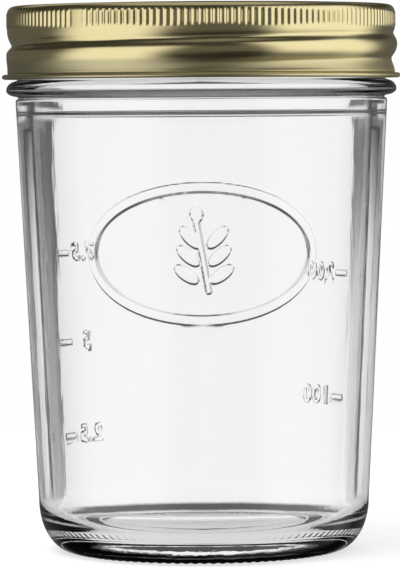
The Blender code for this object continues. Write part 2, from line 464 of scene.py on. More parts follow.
@dataclass(frozen=True)
class ClearGlass:
    """Pressed clear glass with faint long waves of the mould."""

    name: str = "clear_glass"
    colour: Colour = (0.985, 0.99, 0.988)
    index: float = 1.5
    wave_width: float = 4 * MM
    wave_length: float = 30 * MM
    wave_depth: float = 0.026 * MM

    def material(self) -> bpy.types.Material:
        """Set up the glass.

        Returns:
            The finish as a material.
        """
        material, graph = new_surface(self.name)
        right, back, up = graph.coordinates("Object")
        across = [right / self.wave_width, back / self.wave_width, up / self.wave_length]
        waves = graph.grain(across, detail=3.0)
        graph.dress({
            "Base Color": (*self.colour, 1.0),
            "Roughness": 0.0,
            "IOR": self.index,
            "Transmission Weight": 1.0,
            "Normal": graph.relief(waves, self.wave_depth),
        })
        return material


@dataclass(frozen=True)
class GoldLacquer:
    """Gold lacquer on rolled sheet: satin, with fine lines along the way that it was turned.

    The face of the sheet that is marked as lined has the plain lining instead. Below a set height the
    lacquer is rougher and its colour is painted greyer and darker, most on the left, as painted shade.
    """

    name: str
    lining: Colour
    lining_metallic: float
    # Height below which painted shade greys and darkens the colour, most on the left; 0 leaves none.
    painted_shade_height: float = 0.0
    colour: Colour = (0.94, 0.83, 0.47)
    shade: Colour = (0.86, 0.75, 0.4)
    # Painted shade: its greyer, darker colour, the softness of its top edge, its strength, and how it fades
    # from left to right.
    painted_shade: Colour = (0.48, 0.45, 0.3)
    painted_shade_edge: float = 1.2 * MM
    painted_shade_share: float = 0.45
    painted_shade_span: float = 140 * MM
    roughness: float = 0.21
    cloud_roughness: float = 0.12
    line_roughness: float = 0.1
    worn_roughness: float = 0.16
    line_pitch: float = 0.16 * MM
    line_length: float = 9 * MM
    line_depth: float = 0.004 * MM
    line_share: float = 0.55
    cloud_size: float = 14 * MM
    tone_edge: Point = (0.3, 0.75)

    def material(self) -> bpy.types.Material:
        """Set up the lacquer and the lining.

        Returns:
            The finish as a material.
        """
        material, graph = new_surface(self.name)
        right, back, up = graph.coordinates("Object")
        out = (right * right + back * back) ** 0.5
        turned = [right / self.line_length, back / self.line_length, (up + out) / self.line_pitch]
        lines = graph.grain(turned, detail=3.0, roughness=0.6)
        clouds = graph.grain([axis / self.cloud_size for axis in (right, back, up)], detail=3.0)
        tone = self.line_share * lines + (1 - self.line_share) * clouds
        lacquer = graph.mixed(tone.rise(*self.tone_edge), self.shade, self.colour)
        # Painted shade: below the set height the colour is mixed towards a greyer, darker one, most on the
        # left; the same mask also raises the roughness.
        half = 0.5 * self.painted_shade_edge
        shade_and_wear = 1 - up.rise(self.painted_shade_height - half, self.painted_shade_height + half)
        lacquer = graph.mixed(shade_and_wear * (self.painted_shade_share - right / self.painted_shade_span), lacquer, self.painted_shade)
        attribute = graph.node("ShaderNodeAttribute", {"attribute_name": "lining"})
        lining = graph.signal(attribute.outputs["Fac"])
        uneven = self.cloud_roughness * (clouds - 0.5) + self.line_roughness * (lines - 0.5)
        graph.dress({
            "Base Color": graph.mixed(lining, lacquer, self.lining),
            "Roughness": self.roughness + uneven + self.worn_roughness * (lining + shade_and_wear),
            "Metallic": 1 - (1 - self.lining_metallic) * lining,
            "Normal": graph.relief(lines, self.line_depth),
        })
        return material


@dataclass(frozen=True)
class SealCompound:
    """Soft moulded sealing compound, matt, with a faint bloom."""

    name: str = "seal_compound"
    colour: Colour = (0.36, 0.13, 0.06)
    bloom: Colour = (0.48, 0.22, 0.13)
    bloom_edge: Point = (0.35, 0.7)
    roughness: float = 0.5
    speck_roughness: float = 0.2
    speck: float = 0.35 * MM
    speck_depth: float = 0.01 * MM

    def material(self) -> bpy.types.Material:
        """Set up the compound.

        Returns:
            The finish as a material.
        """
        material, graph = new_surface(self.name)
        specks = graph.grain([axis / self.speck for axis in graph.coordinates("Object")], detail=4.0)
        graph.dress({
            "Base Color": graph.mixed(specks.rise(*self.bloom_edge), self.colour, self.bloom),
            "Roughness": self.roughness + self.speck_roughness * specks,
            "Normal": graph.relief(specks, self.speck_depth),
        })
        return material


class Stamp:
    """Flat artwork in the XY plane of the bench, which a mould raises on the glass."""

    def __init__(self) -> None:
        """Start with no artwork."""
        self.parts: list[bpy.types.Object] = []

    def _keep(self, place: Point, turn: float = 0.0) -> None:
        """Take the active flat shape in.

        Args:
            place: Where its centre goes.
            turn: Angle in degrees that it is turned by.
        """
        part = bpy.context.object
        part.rotation_euler.z = math.radians(turn)
        part.location = (place[0], place[1], 0)
        bpy.ops.object.transform_apply(location=True, rotation=True, scale=True)
        self.parts.append(part)

    def oval(self, place: Point, size: Point, line: float = 0.0, turn: float = 0.0) -> None:
        """Add an oval, filled or as a line.

        Args:
            place: Centre of the oval.
            size: Width and height.
            line: Width of the line, or 0 for a filled oval.
            turn: Angle in degrees that the oval is turned by.
        """
        deselect_all()
        bpy.ops.mesh.primitive_circle_add(vertices=96, radius=0.5, fill_type="NGON")
        bpy.context.object.scale = (size[0], size[1], 1)
        bpy.ops.object.transform_apply(scale=True)
        if line > 0:
            with edit_mode(bpy.context.object):
                bpy.ops.mesh.select_all(action="SELECT")
                bpy.ops.mesh.inset(thickness=line)
                bpy.ops.mesh.delete(type="FACE")
        self._keep(place, turn)

    def bar(self, place: Point, size: Point, turn: float = 0.0) -> None:
        """Add a straight bar.

        Args:
            place: Centre of the bar.
            size: Width and height.
            turn: Angle in degrees that the bar is turned by.
        """
        deselect_all()
        bpy.ops.mesh.primitive_plane_add(size=1)
        bpy.context.object.scale = (size[0], size[1], 1)
        self._keep(place, turn)

    def number(self, place: Point, text: str, height: float) -> None:
        """Add a plain number.

        Args:
            place: Centre of the number.
            text: Its figures.
            height: Height of the type.
        """
        deselect_all()
        bpy.ops.object.text_add()
        letters = bpy.context.object
        letters.data.body = text
        letters.data.size = height
        letters.data.align_x = "CENTER"
        letters.data.align_y = "CENTER"
        letters.data.space_character = 1.2
        bpy.ops.object.convert(target="MESH")
        self._keep(place)

    def finder(self) -> BVHTree:
        """Join the artwork and remove its shapes.

        Returns:
            What finds the nearest point of the artwork.
        """
        pick(self.parts[0])
        for part in self.parts[1:]:
            part.select_set(True)
        bpy.ops.object.join()
        joined = bpy.context.object
        vertices = [vertex.co.copy() for vertex in joined.data.vertices]
        faces = [tuple(face.vertices) for face in joined.data.polygons]
        bpy.data.objects.remove(joined)
        return BVHTree.FromPolygons(vertices, faces)


@dataclass
class Moulding:
    """One stamped mark on the wall of the jar."""

    artwork: BVHTree
    azimuth: float
    height: float
    relief: float
    flank: float
    reach: Point
    margin_share: float = 2.5

    def lift(self, angle: float, radius: float, height: float) -> float:
        """How far the mark raises the glass at a point of the wall, and -1 away from it.

        Args:
            angle: Angle of the point from +X.
            radius: Radius of the wall there.
            height: Height of the point.

        Returns:
            The rise, 0 within the margin round the mark, or -1 outside it.
        """
        off = (angle - math.radians(self.azimuth) + math.pi) % TURN - math.pi
        across = off * radius
        up = height - self.height
        if abs(across) > self.reach[0] or abs(up) > self.reach[1]:
            return -1.0
        margin = self.margin_share * self.flank
        *_, distance = self.artwork.find_nearest(Vector((across, up, 0)), margin)
        if distance is None:
            return -1.0
        return self.relief * (1 - eased(distance / self.flank))


@dataclass
class GlassJar:
    """The pressed glass jar with its thread, label panel, volume marks and ribbed foot.

    The places of the sprig are from the panel's middle. A scale of volume marks is the angle that it
    stands at, the side that its numbers are on, and the height and number of each mark.
    """

    columns: int = 240
    finish_radius: float = 39.3 * MM
    finish_wall: float = 3.3 * MM
    finish_height: float = 13.5 * MM
    lip_round: float = 0.9 * MM
    bead_height: float = 3.4 * MM
    bead_waist: float = 1.35 * MM
    bead_reach: float = 2.5 * MM
    neck_radius: float = 39.2 * MM
    neck_height: float = 1.1 * MM
    neck_fillet: float = 0.45 * MM
    shoulder_radius: float = 39.8 * MM
    heel_radius: float = 35.5 * MM
    heel_height: float = 10.9 * MM
    heel_round: float = 7.1 * MM
    wall: float = 3.0 * MM
    throat_drop: float = 2.0 * MM
    throat_height: float = 0.7 * MM
    throat_step: float = 0.3 * MM
    support: float = 0.3 * MM
    lip_support: float = 1 * MM
    floor_support: float = 2 * MM
    floor_height: float = 5.0 * MM
    floor_round: float = 5.8 * MM
    foot_width: float = 1.8 * MM
    push_up: float = 1.7 * MM
    push_up_flank: float = 1.7 * MM
    thread_lead: float = 5.08 * MM
    thread_reach: float = 0.9 * MM
    thread_half_width: float = 1.1 * MM
    thread_bottom: float = 2.6 * MM
    thread_margin: float = 0.2 * MM
    thread_turns: float = 1.35
    thread_fade_turn: float = 0.06
    foot_ribs: int = 96
    foot_rib_depth: float = 0.2 * MM
    foot_rib_reach: float = 2.2 * MM
    foot_rib_fade: float = 0.8 * MM
    foot_rib_top: float = 2.0 * MM
    fine_top: float = 1.4 * MM
    fine_margin: float = 0.5 * MM
    panel_height: float = 65 * MM
    panel_size: Point = (50 * MM, 29 * MM)
    panel_line: float = 1.6 * MM
    panel_margin: Point = (2.0 * MM, 2.5 * MM)
    stem_place: Point = (0.0, -0.6 * MM)
    stem_size: Point = (0.7 * MM, 15 * MM)
    sprig_turn: float = 10.0
    leaf_rows: int = 3
    leaf_size: Point = (5.4 * MM, 2.2 * MM)
    leaf_aside: float = 3.6 * MM
    leaf_shift: float = 0.3 * MM
    leaf_low: float = -4.2 * MM
    leaf_pitch: float = 3.8 * MM
    leaf_taper: float = 0.4 * MM
    leaf_turn: float = 35.0
    leaf_turn_step: float = 6.0
    bud_place: Point = (-1.2 * MM, 8.2 * MM)
    bud_size: Point = (2.2 * MM, 3.0 * MM)
    panel_relief: float = 0.5 * MM
    panel_flank: float = 0.4 * MM
    bar_size: Point = (5.4 * MM, 0.8 * MM)
    number_height: float = 5.4 * MM
    number_gap: float = 8.8 * MM
    mark_relief: float = 0.25 * MM
    mark_flank: float = 0.32 * MM
    mark_reach: Point = (18 * MM, 5 * MM)
    scales: tuple[tuple[float, int, tuple[tuple[float, str], ...]], ...] = (
        (152, -1, ((23.1 * MM, "2.5"), (43.7 * MM, "5"), (63.2 * MM, "7.5"))),
        (28, 1, ((31.3 * MM, "100"), (58.5 * MM, "200"))),
    )
    finish: ClearGlass = ClearGlass()

    def __post_init__(self) -> None:
        """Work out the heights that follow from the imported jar."""
        self.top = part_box("glass_jar")[1].z
        self.bead_top = self.top - self.finish_height
        self.neck_top = self.bead_top - self.bead_height
        self.shoulder_top = self.neck_top - self.neck_height
        self.throat_top = self.shoulder_top - self.throat_drop
        self.mouth_radius = self.finish_radius - self.finish_wall
        self.foot_radius = self.heel_radius - self.heel_round

    def wall_radius(self, height: float) -> float:
        """Outer radius of the tapering wall at a height."""
        share = (height - self.heel_height) / (self.shoulder_top - self.heel_height)
        return self.heel_radius + (self.shoulder_radius - self.heel_radius) * share

    def outline(self) -> list[Point]:
        """Draw the glass: up the inside, over the lip, down the outside and under the base.

        Returns:
            The points of the half section.
        """
        corner_height = self.floor_height + self.floor_round
        corner_radius = self.wall_radius(corner_height) - self.wall - self.floor_round
        points = [(0, self.floor_height)]
        points += run(points[-1], (corner_radius - self.floor_support, self.floor_height), 5)
        points += arc((corner_radius, corner_height), (self.floor_round, self.floor_round), -90, 0, 14)

        throat_bottom = self.throat_top - self.throat_height
        throat_radius = self.mouth_radius + self.throat_step
        points += run(points[-1], (throat_radius, throat_bottom - self.support), 24)
        points += run(points[-1], (throat_radius, throat_bottom), 1)
        throat = wave((throat_bottom, throat_radius), (self.throat_top, self.mouth_radius), 8)
        points += [(radius, height) for height, radius in throat]
        points += run(points[-1], (self.mouth_radius, self.throat_top + self.support), 1)
        points += run(points[-1], (self.mouth_radius, self.top - self.lip_round - self.lip_support), 5)

        lip = (self.lip_round, self.lip_round)
        lip_height = self.top - self.lip_round
        points += arc((self.mouth_radius + self.lip_round, lip_height), lip, 180, 90, 6)
        points += arc((self.finish_radius - self.lip_round, lip_height), lip, 90, 0, 6)
        points += run(points[-1], (self.finish_radius, self.bead_top + self.thread_margin), 36)

        waist = self.neck_top + self.bead_waist
        points += arc((self.finish_radius, waist), (self.bead_reach, self.bead_top - waist), 80, 0, 10)
        points += arc((self.finish_radius, waist), (self.bead_reach, self.bead_waist), -8, -80, 8)
        fillet = (-self.neck_fillet, self.neck_fillet)
        neck_bottom = self.neck_top - self.neck_fillet
        points += arc((self.neck_radius + self.neck_fillet, neck_bottom), fillet, 90, 0, 4)
        shoulder = (self.shoulder_radius - self.neck_radius, neck_bottom - self.shoulder_top)
        points += arc((self.neck_radius, self.shoulder_top), shoulder, 80, 0, 8)

        points += run(points[-1], (self.heel_radius, self.heel_height), 52)
        points += arc((self.foot_radius, self.heel_height), (self.heel_round, self.heel_height), -4, -90, 24)
        hollow = self.foot_radius - self.foot_width
        points += run(points[-1], (hollow, 0), 3)
        points += arc((hollow, self.push_up), (-self.push_up_flank, -self.push_up), 75, 0, 5)
        points += run(points[-1], (0, self.push_up), 5)
        return points

    def thread_rise(self, angle: float, height: float) -> float:
        """Read the thread's height.

        Args:
            angle: Angle of the place from +X.
            height: Height of the place.

        Returns:
            How far the thread stands out of the finish there.
        """
        rise = 0.0
        for lap in range(-1, 3):
            turn = angle / TURN + lap
            if not 0 <= turn <= self.thread_turns:
                continue
            centre = self.bead_top + self.thread_bottom + self.thread_lead * turn
            ends = min(turn, self.thread_turns - turn) / self.thread_fade_turn
            hump = eased(ends) * bell(height - centre, self.thread_half_width)
            rise = max(rise, self.thread_reach * hump)
        return rise

    def mouldings(self) -> list[Moulding]:
        """Draw the label panel of the photographed side and the volume marks of the far wall.

        Returns:
            Each mark with its place on the wall.
        """
        panel = Stamp()
        panel.oval((0, 0), self.panel_size, self.panel_line)
        panel.bar(self.stem_place, self.stem_size, self.sprig_turn)
        for side in (-1, 1):
            for row in range(self.leaf_rows):
                aside = side * (self.leaf_aside - self.leaf_taper * row) + self.leaf_shift
                turn = side * (self.leaf_turn + self.leaf_turn_step * row)
                panel.oval((aside, self.leaf_low + self.leaf_pitch * row), self.leaf_size, turn=turn)
        panel.oval(self.bud_place, self.bud_size, turn=self.sprig_turn)
        reach = tuple(0.5 * size + margin for size, margin in zip(self.panel_size, self.panel_margin))
        marks = [Moulding(panel.finder(), -90, self.panel_height, self.panel_relief, self.panel_flank, reach)]
        depth = (self.mark_relief, self.mark_flank)
        for azimuth, side, column in self.scales:
            for height, text in column:
                mark = Stamp()
                mark.bar((0, 0), self.bar_size)
                mark.number((side * self.number_gap, 0), text, self.number_height)
                marks.append(Moulding(mark.finder(), azimuth, height, *depth, self.mark_reach))
        return marks

    def is_wall(self, radius: float, height: float) -> bool:
        """Whether a place is on the outside of the tapering wall."""
        tapers = self.heel_height < height < self.shoulder_top
        return tapers and radius >= self.wall_radius(height) - 0.5 * self.wall

    def is_foot(self, place: Place) -> bool:
        """Find the faces that the foot's ribs need.

        Args:
            place: Angle, radius and height of the middle of a face.

        Returns:
            Whether the face lies on the ribbed part.
        """
        _, radius, height = place
        inside = self.foot_radius - self.foot_width - self.fine_margin
        return height < self.fine_top and inside < radius < self.foot_radius + self.foot_rib_reach

    def foot_rise(self, angle: float, radius: float, height: float) -> float:
        """Read the valleys between the short ribs of the foot.

        Args:
            angle: Angle of the place from +X.
            radius: Radius of the place.
            height: Height of the place.

        Returns:
            How far the glass is pressed up there.
        """
        middle = self.foot_radius + 0.5 * (self.foot_rib_reach - self.foot_width)
        inside = 0.5 * (self.foot_rib_reach + self.foot_width) - abs(radius - middle)
        if height > self.foot_rib_top or inside < 0:
            return 0.0
        valley = 0.5 - 0.5 * math.cos(self.foot_ribs * angle)
        return self.foot_rib_depth * eased(inside / self.foot_rib_fade) * valley

    def build(self) -> bpy.types.Object:
        """Turn the jar, raise its thread and its marks, and rib its foot.

        Returns:
            The jar.
        """
        jar = lathe("jar_glass", self.outline(), self.columns)
        marks = self.mouldings()

        def lift(place: Place) -> float:
            """Read the marks.

            Args:
                place: Angle, radius and height of a place.

            Returns:
                How far it is raised, or -1 away from the marks and off the outer wall.
            """
            return max(mark.lift(*place) for mark in marks) if self.is_wall(*place[1:]) else -1.0

        def mould(place: Place) -> Place:
            """Raise the marks on the outer wall and the thread on the finish, and rib the foot.

            Args:
                place: Angle, radius and height of a vertex.

            Returns:
                Its new angle, radius and height.
            """
            angle, radius, height = place
            if self.is_wall(radius, height):
                radius = self.wall_radius(height)
                return angle, radius + max(lift((angle, radius, height)), 0.0), height
            if abs(radius - self.finish_radius) < HAIR and self.bead_top < height < self.top - self.lip_round:
                return angle, radius + self.thread_rise(angle, height), height
            return angle, radius, height + self.foot_rise(*place)

        with edit_mode(jar):
            select_faces(jar, lambda place: lift(place) >= 0)
            bpy.ops.mesh.subdivide(number_cuts=5)
            select_faces(jar, self.is_foot)
            bpy.ops.mesh.subdivide(number_cuts=1)
        reshape(jar, mould)
        bpy.ops.object.shade_smooth()
        jar.data.materials.append(self.finish.material())
        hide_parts("glass_jar")
        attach(jar, "jar")
        return jar


@dataclass
class LidDisc:
    """The pressed metal disc that closes the mouth."""

    columns: int = 192
    sheet: float = 0.25 * MM
    edge_round: float = 0.6 * MM
    drop: float = 1.1 * MM
    panel_depth: float = 1.0 * MM
    panel_flank: float = 0.6 * MM
    step_radius: float = 35.2 * MM
    button_radius: float = 8.5 * MM
    button_rise: float = 0.6 * MM
    rib_inset: float = 4.8 * MM
    rib_half_width: float = 1.2 * MM
    rib_rise: float = 0.4 * MM
    lined_below: float = -0.3
    finish: GoldLacquer = GoldLacquer("disc_lacquer", (0.5, 0.5, 0.49), 0.0, line_length=14 * MM)

    def outline(self) -> list[Point]:
        """Draw the upper face of the disc, from its centre out to the lower edge of its rim.

        Returns:
            The points of the half section.
        """
        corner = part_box("lid_disc")[1]
        panel = corner.z - self.panel_depth
        points = [(0, panel + self.button_rise)]
        points += wave(points[-1], (self.button_radius, panel), 12)
        rib_radius = self.step_radius - self.rib_inset
        points += run(points[-1], (rib_radius - self.rib_half_width, panel), 8)
        points += wave(points[-1], (rib_radius, panel + self.rib_rise), 5)
        points += wave(points[-1], (rib_radius + self.rib_half_width, panel), 5)
        points += run(points[-1], (self.step_radius - self.panel_flank, panel), 3)
        points += wave(points[-1], (self.step_radius, corner.z), 6)
        edge = (corner.x - self.edge_round, corner.z - self.edge_round)
        points += run(points[-1], (edge[0], corner.z), 3)[:-1]
        points += arc(edge, (self.edge_round, self.edge_round), 90, 0, 6)
        points += run(points[-1], (corner.x, corner.z - self.drop), 1)
        return points

    def build(self) -> bpy.types.Object:
        """Turn the upper face and give it the thickness of the sheet.

        Returns:
            The disc.
        """
        disc = lathe("lid_disc_pressed", self.outline(), self.columns)
        face_outwards(disc, (0, 0, 2 * self.outline()[0][1]))
        apply_modifier(disc, "SOLIDIFY", thickness=self.sheet, offset=-1, use_even_offset=True)
        mark_lining(disc, lambda middle, normal: normal.z < self.lined_below)
        disc.data.materials.append(self.finish.material())
        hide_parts("lid_disc")
        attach(disc, "lid")
        return disc


@dataclass
class SealingRing:
    """The ring of sealing compound under the rim of the disc."""

    columns: int = 192
    width: float = 2.8 * MM
    edge_round: float = 0.3 * MM
    dent: float = 0.12 * MM
    finish: SealCompound = SealCompound()

    def outline(self) -> list[Point]:
        """Draw the section with round corners and the dent that the lip of the glass leaves.

        Returns:
            The points of the closed section.
        """
        low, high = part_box("sealing_ring")
        inner = high.x - self.width
        rounding = (self.edge_round, self.edge_round)
        left, right = inner + self.edge_round, high.x - self.edge_round
        bottom, top = low.z + self.edge_round, high.z - self.edge_round
        points = arc((left, top), rounding, 180, 90, 4)
        points += arc((right, top), rounding, 90, 0, 4)
        points += arc((right, bottom), rounding, 0, -90, 4)
        for across, height in run((right, low.z), (left, low.z), 10)[:-1]:
            share = (across - left) / (right - left)
            points.append((across, height + self.dent * bell(share - 0.5, 0.5)))
        points += arc((left, bottom), rounding, -90, -180, 4)
        return [*points, points[0]]

    def build(self) -> bpy.types.Object:
        """Turn the section.

        Returns:
            The ring.
        """
        ring = lathe("seal_ring", self.outline(), self.columns)
        ring.data.materials.append(self.finish.material())
        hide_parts("sealing_ring")
        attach(ring, "ring")
        return ring


@dataclass
class ScrewBand:
    """The sheet metal band: flange, ribbed grip, rolled thread and curled lower edge."""

    ribs: int = 180
    wall_radius: float = 41.51 * MM
    sheet: float = 0.25 * MM
    edge_round: float = 1.65 * MM
    flange_width: float = 5.3 * MM
    rib_crest: float = 0.12 * MM
    rib_valley: float = 0.08 * MM
    ribs_drop: float = 1.3 * MM
    ribs_height: float = 3.6 * MM
    rib_fade: float = 0.45 * MM
    crest_share: float = 0.56
    valley_share: float = 0.16
    plain_azimuth: float = 232.0
    plain_span: float = 5.0
    shoulder_width: float = 0.3 * MM
    thread_lead: float = 5.08 * MM
    thread_depth: float = 0.96 * MM
    thread_drop: float = 11.25 * MM
    thread_lift: float = 0.32 * MM
    near_flank: float = 1.7 * MM
    far_flank: float = 3.1 * MM
    swell: float = 0.5 * MM
    depth_shares: tuple[Point, ...] = (
        (-0.42, 0), (-0.36, 0.1), (-0.3, 0.12), (-0.2, 0.75), (0.0, 0.78), (0.3, 1), (0.52, 1),
        (0.6, 0.72), (0.68, 0.42), (0.86, 0.4), (1.0, 0.36), (1.12, 0),
    )
    swell_shares: tuple[Point, ...] = (
        (0.14, 0), (0.26, 0.4), (0.5, 0.4), (0.9, 1), (1.02, 1), (1.14, 0),
    )
    crease_shares: tuple[Point, ...] = ((0.54, 0), (0.6, 1), (0.64, 1), (0.7, 0))
    crease_rise: float = 0.5 * MM
    crease_depth: float = 0.07 * MM
    crease_flank: float = 0.4 * MM
    curl_reach: float = 1.15 * MM
    curl_height: float = 1.05 * MM
    curl_bend: float = 0.3 * MM
    undercut: float = 0.1 * MM
    undercut_height: float = 0.3 * MM
    lined_below: float = -0.7
    lined_inwards: float = -0.5
    # The lower skirt, below 105 mm, gets painted shade in its colour, darker and greyer on the left.
    finish: GoldLacquer = GoldLacquer("gold_lacquer", (0.5, 0.5, 0.49), 1.0, painted_shade_height=105.0 * MM)

    def __post_init__(self) -> None:
        """Work out the four columns of each rib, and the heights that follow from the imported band."""
        low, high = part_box("screw_band")
        self.columns = 4 * self.ribs
        self.bottom = low.z
        self.top = high.z
        self.ribs_top = self.top - self.ribs_drop
        self.ribs_bottom = self.ribs_top - self.ribs_height
        self.bend_height = self.bottom + self.sheet + self.curl_bend
        self.undercut_top = self.bottom + self.curl_height + self.undercut_height

    def outline(self) -> list[Point]:
        """Draw the outer face of the band, from the flange's edge to the end of the curl.

        Returns:
            The points of the half section.
        """
        points = [(self.wall_radius - self.flange_width, self.top)]
        corner = (self.wall_radius - self.edge_round, self.top - self.edge_round)
        points += run(points[-1], (corner[0], self.top), 2)[:-1]
        points += arc(corner, (self.edge_round, self.edge_round), 90, 0, 10)
        points += run(points[-1], (self.wall_radius, self.ribs_bottom), 8)
        points += run(points[-1], (self.wall_radius, self.undercut_top), 30)
        under = (self.undercut_top - self.undercut_height, self.wall_radius - self.undercut)
        points += [point[::-1] for point in wave(points[-1][::-1], under, 3)]
        bend = (self.curl_bend, self.curl_bend)
        points += arc((self.wall_radius + self.curl_bend, self.bend_height), bend, 180, 270, 4)
        half = 0.5 * self.curl_height
        centre = (self.wall_radius + self.curl_reach - half, self.bottom + half)
        points += arc(centre, (half - self.sheet, half - self.sheet), -90, 150, 8)
        return points

    def rib_place(self, column: int) -> tuple[float, float]:
        """Place one of the four columns of a rib.

        Args:
            column: Column from 0 to 3: two on the crest and two in the valley.

        Returns:
            Its shift from even spacing as a share of a rib, and its shift outwards.
        """
        crest, valley = 0.5 * self.crest_share, 0.5 * self.valley_share
        shares = (-crest, crest, 0.5 - valley, 0.5 + valley)
        outwards = self.rib_crest if column < 2 else -self.rib_valley
        return shares[column] - 0.25 * column + 0.125, outwards

    def thread_shift(self, turn_share: float, height: float) -> float:
        """Read the rolled thread.

        Args:
            turn_share: Share of a turn from +X.
            height: Height on the wall.

        Returns:
            How far the wall is shifted outwards there.
        """
        shift = 0.0
        for lap in (-1, 0, 1):
            turn = turn_share + lap
            upper = eased(2 * turn)
            centre = self.top - self.thread_drop + self.thread_lead * turn + self.thread_lift * upper
            if height > centre:
                flank = self.near_flank + (self.far_flank - self.near_flank) * upper
                flank = min(flank, self.ribs_bottom - centre)
            else:
                flank = self.far_flank + (self.near_flank - self.far_flank) * upper
            depth = self.thread_depth * along(self.depth_shares, turn)
            shift -= depth * (vee if height > centre else bell)(height - centre, flank)
            swell = self.swell * along(self.swell_shares, turn)
            shift += swell * bell(height - centre + 0.5 * self.thread_lead, 0.5 * self.thread_lead)
            crease = self.crease_depth * along(self.crease_shares, turn)
            shift -= crease * bell(height - centre - self.crease_rise, self.crease_flank)
        return shift

    def _roll(self, place: Place) -> Place:
        """Press the ribs and the thread into the turned wall.

        Args:
            place: Angle, radius and height of a vertex.

        Returns:
            Its new angle, radius and height.
        """
        angle, radius, height = place
        on_shoulder = height > self.top - self.edge_round and radius > self.wall_radius - self.shoulder_width
        if abs(radius - self.wall_radius) > HAIR and not on_shoulder:
            return place
        turn_share = (angle / TURN) % 1.0
        if self.ribs_bottom - HAIR < height < self.ribs_top + HAIR:
            step = round(turn_share * self.columns) % self.columns
            if abs(360 * step / self.columns - self.plain_azimuth) < 0.5 * self.plain_span:
                return place
            inside = min(height - self.ribs_bottom, self.ribs_top - height)
            depth = eased(inside / self.rib_fade)
            aside, outwards = self.rib_place(step % 4)
            return angle + TURN / self.ribs * aside * depth, radius + outwards * depth, height
        if self.undercut_top <= height < self.ribs_bottom:
            return angle, radius + self.thread_shift(turn_share, height), height
        return place

    def _is_inner(self, middle: Vector, normal: Vector) -> bool:
        """Find the faces of the sheet that look at the jar.

        Args:
            middle: Middle of a face.
            normal: Normal of the face.

        Returns:
            Whether the face is lined.
        """
        radius = polar(middle)[1]
        if radius > self.wall_radius:
            return False
        outwards = (normal.x * middle.x + normal.y * middle.y) / radius
        return normal.z < self.lined_below or outwards < self.lined_inwards

    def build(self) -> bpy.types.Object:
        """Turn the wall, roll its ribs and thread, and give it the thickness of the sheet.

        Returns:
            The band.
        """
        band = lathe("band_shell", self.outline(), self.columns)
        face_outwards(band, (2 * self.wall_radius, 0, self.ribs_bottom))
        reshape(band, self._roll)
        apply_modifier(band, "SOLIDIFY", thickness=self.sheet, offset=-1, use_even_offset=True)
        mark_lining(band, self._is_inner)
        band.data.materials.append(self.finish.material())
        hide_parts("screw_band")
        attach(band, "band")
        return band


class Ray(enum.Enum):
    """The kinds of ray that the studio tells apart."""

    CAMERA = "Is Camera Ray"
    GLOSSY = "Is Glossy Ray"
    GLASS = "Is Transmission Ray"


@dataclass(frozen=True)
class SoftBox:
    """A lit panel that the metal reflects, with its edges in degrees from the camera side.

    Each edge is a pair: where the panel's light starts or ends, and how soft that edge is. The
    bottom share is how much of the light the table below gives back, and the lean how many degrees
    the panel shifts to the left for each degree up.
    """

    left: Point
    right: Point
    bottom: Point
    top: Point
    colour: Colour
    bottom_share: float
    lean: float

    def light(self, azimuth: Signal, elevation: Signal) -> Signal:
        """How much of the panel's light comes from a direction.

        Args:
            azimuth: Direction round the jar.
            elevation: Direction up.

        Returns:
            The share of the light.
        """
        azimuth = azimuth + self.lean * elevation
        left, right, low, high = (
            angle.rise(place - 0.5 * edge, place + 0.5 * edge)
            for angle, (place, edge) in (
                (azimuth, self.left), (azimuth, self.right), (elevation, self.bottom), (elevation, self.top)
            )
        )
        height = (self.bottom_share + (1 - self.bottom_share) * low) * (1 - high)
        return (left - right) * height


